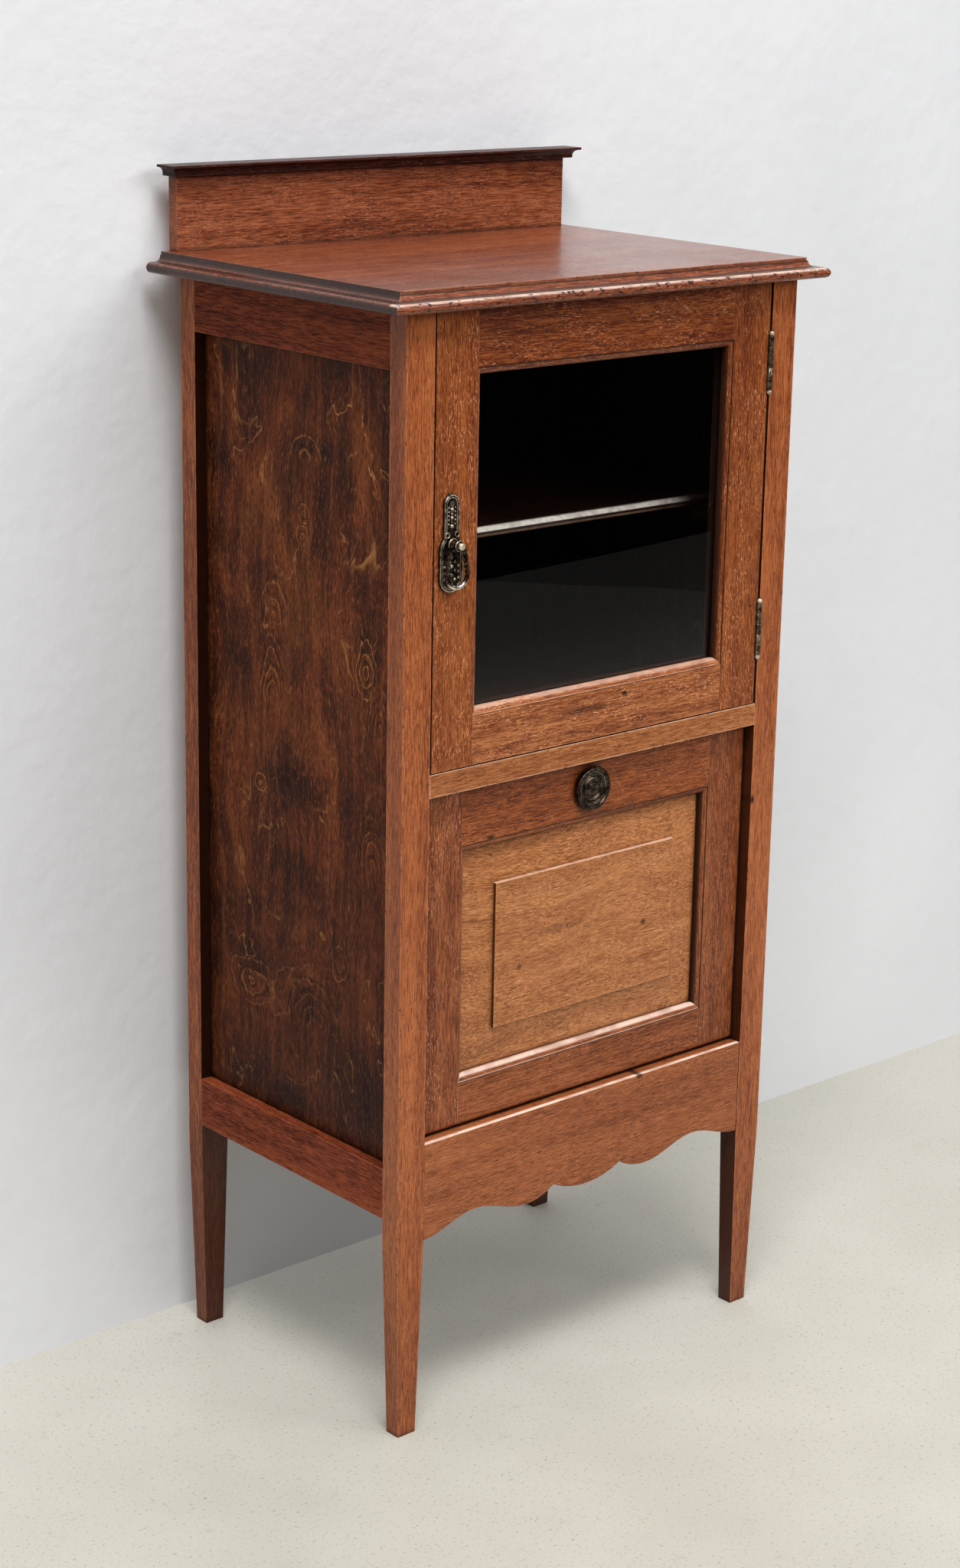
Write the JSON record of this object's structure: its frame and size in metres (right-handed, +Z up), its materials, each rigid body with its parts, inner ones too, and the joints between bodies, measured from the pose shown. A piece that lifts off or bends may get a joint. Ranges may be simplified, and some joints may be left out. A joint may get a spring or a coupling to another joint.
{
  "type": "display cabinet",
  "caption": "Narrow mahogany display cabinet: glazed hinged door with a drop handle above a fielded fall front with a ring pull, moulded top with upstand, tapered legs, scalloped apron.",
  "frame": {"origin": "on the floor, under the centre of the whole cabinet's bounding box", "axes": "+X to the viewer's right when facing the front, +Y towards the back, +Z up"},
  "size_m": [0.538, 0.368, 1.172],
  "materials": {
    "mahogany_post": "satin varnish, worn arrises",
    "mahogany_side": "satin varnish",
    "side_panel_veneer": "varnished figured veneer on ply",
    "inner_wood": "plain stained softwood",
    "mahogany_light": "satin varnish, lighter board",
    "mahogany_apron": "satin varnish",
    "mahogany_top": "glossy varnish",
    "mahogany_door": "satin varnish",
    "clear_glass": "clear sheet glass",
    "aged_brass": "aged brass",
    "dark_bronze": "dark antique bronze, rubbed bright on the edges",
    "mahogany_fall": "satin varnish"
  },
  "bodies": {
    "case": {"post_front_left": "mahogany_post", "post_front_right": "mahogany_post", "post_back_left": "mahogany_post", "post_back_right": "mahogany_post", "side_top_rail_left": "mahogany_side", "side_top_rail_right": "mahogany_side", "side_bottom_rail_left": "mahogany_side", "side_bottom_rail_right": "mahogany_side", "side_panel_left": "side_panel_veneer", "side_panel_right": "side_panel_veneer", "back_top_rail": "inner_wood", "back_bottom_rail": "inner_wood", "back_panel": "inner_wood", "front_top_rail": "inner_wood", "middle_rail": "mahogany_light", "apron": "mahogany_apron", "middle_board": "inner_wood", "middle_bearer_left": "inner_wood", "middle_bearer_right": "inner_wood", "floor_board": "inner_wood", "floor_bearer_left": "inner_wood", "floor_bearer_right": "inner_wood", "shelf": "inner_wood", "shelf_bearer_left": "inner_wood", "shelf_bearer_right": "inner_wood", "top_board": "mahogany_top", "upstand_board": "mahogany_top", "upstand_cap": "mahogany_top", "top_screws": "aged_brass", "upstand_screws": "aged_brass", "hinge_case_leaves": "aged_brass", "hinge_pins": "aged_brass", "hinge_case_screws": "aged_brass", "fall_pivot_pins": "aged_brass", "catch_plate": "aged_brass", "fall_stop": "inner_wood", "door_stop": "inner_wood"},
    "door": {"door_stile_left": "mahogany_door", "door_stile_right": "mahogany_door", "door_rail_top": "mahogany_door", "door_rail_bottom": "mahogany_door", "door_glass": "clear_glass", "glazing_beads_upright": "mahogany_door", "glazing_beads_level": "mahogany_door", "hinge_door_leaves": "aged_brass", "hinge_door_screws": "aged_brass", "handle_backplate": "dark_bronze", "handle_screws": "dark_bronze"},
    "door_handle": {"handle_spindle": "dark_bronze", "latch_tongue": "aged_brass"},
    "handle_ring": {"handle_ring": "dark_bronze"},
    "fall": {"fall_stile_left": "mahogany_fall", "fall_stile_right": "mahogany_fall", "fall_rail_top": "mahogany_fall", "fall_rail_bottom": "mahogany_fall", "fall_panel": "mahogany_light", "pull_rosette": "dark_bronze", "catch_barrel": "aged_brass"},
    "pull_ring": {"pull_ring": "dark_bronze"},
    "catch_plunger": {"catch_plunger": "aged_brass"}
  },
  "joints": [
    {"name": "door_hinge", "type": "hinge", "parent": "case", "child": "door", "pos_m": [0.209, -0.166, 0.86], "axis": [0, 0, 1], "range_deg": [0, 120]},
    {"name": "handle_turn", "type": "hinge", "parent": "door", "child": "door_handle", "pos_m": [-0.1903, -0.165, 0.866], "axis": [0, 1, 0], "range_deg": [0, 90]},
    {"name": "ring_swing", "type": "hinge", "parent": "door_handle", "child": "handle_ring", "pos_m": [-0.1903, -0.175, 0.866], "axis": [-1, 0, 0], "range_deg": [-8, 170]},
    {"name": "fall_hinge", "type": "hinge", "parent": "case", "child": "fall", "pos_m": [0, -0.148, 0.3024], "axis": [1, 0, 0], "range_deg": [0, 90]},
    {"name": "pull_swing", "type": "hinge", "parent": "fall", "child": "pull_ring", "pos_m": [0, -0.1578, 0.6232], "axis": [-1, 0, 0], "range_deg": [0, 125]},
    {"name": "catch_slide", "type": "slide", "parent": "fall", "child": "catch_plunger", "axis": [0, 0, 1], "range_m": [-0.0009, 0.0012], "stiffness_N_per_m": 300}
  ]
}
